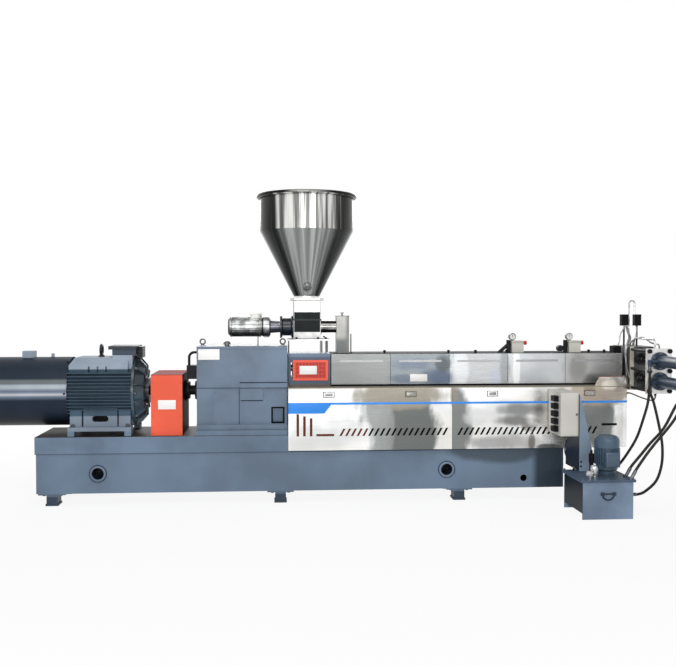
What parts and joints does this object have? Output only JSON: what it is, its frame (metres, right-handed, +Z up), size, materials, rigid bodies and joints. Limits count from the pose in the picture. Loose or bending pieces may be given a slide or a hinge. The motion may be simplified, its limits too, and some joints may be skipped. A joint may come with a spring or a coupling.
{
  "type": "twin-screw pelletizing extruder",
  "caption": "Pelletizing extruder on a welded base: finned drive motor, gearbox, hopper screw feeder, covered barrel, hydraulic screen changer and oil power unit with hoses.",
  "frame": {"origin": "bottom centre of the machine's box, on the floor, the free hoses left out", "axes": "+X along the melt flow from motor to screen changer, +Y from the operator's side to the rear, +Z up"},
  "size_m": [5.084, 1.386, 2.348],
  "materials": {
    "painted": "blue-grey machine enamel",
    "motor_paint": "dark slate motor enamel",
    "guard_red": "red-orange guard enamel",
    "stainless": "polished stainless sheet",
    "drive_aluminium": "bare die-cast aluminium",
    "machined_steel": "machined steel",
    "black_steel": "black oiled steel",
    "black_plastic": "black plastic",
    "seal_rubber": "black rubber strip",
    "beige_paint": "beige powder coat",
    "hose_rubber": "black rubber hose"
  },
  "bodies": {
    "machine": {"base_box": "painted", "bed_beam": "painted", "levelling_feet": "painted", "motor_frame": "motor_paint", "motor_end_shield": "motor_paint", "fan_cowl": "motor_paint", "terminal_box": "motor_paint", "motor_fittings": "motor_paint", "coupling_guard": "guard_red", "gearbox_lower": "painted", "gearbox_upper": "painted", "gearbox_lid": "painted", "gearbox_fittings": "black_steel", "input_cover": "black_steel", "feed_housing": "painted", "feed_grilles": "guard_red", "screw_shafts": "machined_steel", "hopper": "stainless", "feeder_neck": "stainless", "feeder_body": "stainless", "feeder_stand": "stainless", "feeder_lantern": "motor_paint", "feeder_motor": "drive_aluminium", "feeder_tube": "stainless", "feed_chute": "stainless", "barrel": "black_steel", "barrel_stands": "painted", "upper_covers": "stainless", "cover_seals": "seal_rubber", "apron_front": "stainless", "apron_rear": "stainless", "apron_end_sheet": "stainless", "vent_boxes": "beige_paint", "vent_fittings": "black_steel", "vent_knobs": "guard_red", "changer_body": "machined_steel", "tie_rods": "black_steel", "cylinder_plate": "machined_steel", "hydraulic_cylinders": "motor_paint", "pressure_sensors": "black_plastic", "sensor_leads": "stainless", "grease_pipe": "stainless", "heater_terminal": "black_plastic", "oil_tank": "painted", "tank_lid": "painted", "pump_motor": "motor_paint", "tank_fittings": "stainless", "oil_unions": "black_steel", "box_post": "painted", "junction_box": "beige_paint", "box_connectors": "black_plastic", "hose_upper_rod": "hose_rubber", "hose_lower_rod": "hose_rubber", "hose_upper_cap": "hose_rubber", "hose_lower_cap": "hose_rubber", "box_cable": "hose_rubber", "heater_cable": "hose_rubber"},
    "coupling": {"drive_coupling": "black_steel"},
    "upper_piston": {"piston_upper": "machined_steel"},
    "lower_piston": {"piston_lower": "machined_steel"}
  },
  "joints": [
    {"name": "coupling_spin", "type": "hinge", "parent": "machine", "child": "coupling", "pos_m": [-1.154, 0.303, 0.832], "axis": [1, 0, 0], "continuous": true},
    {"name": "upper_piston_slide", "type": "slide", "parent": "machine", "child": "upper_piston", "axis": [0, -1, 0], "range_m": [0, 0.18]},
    {"name": "lower_piston_slide", "type": "slide", "parent": "machine", "child": "lower_piston", "axis": [0, -1, 0], "range_m": [0, 0.18]}
  ]
}
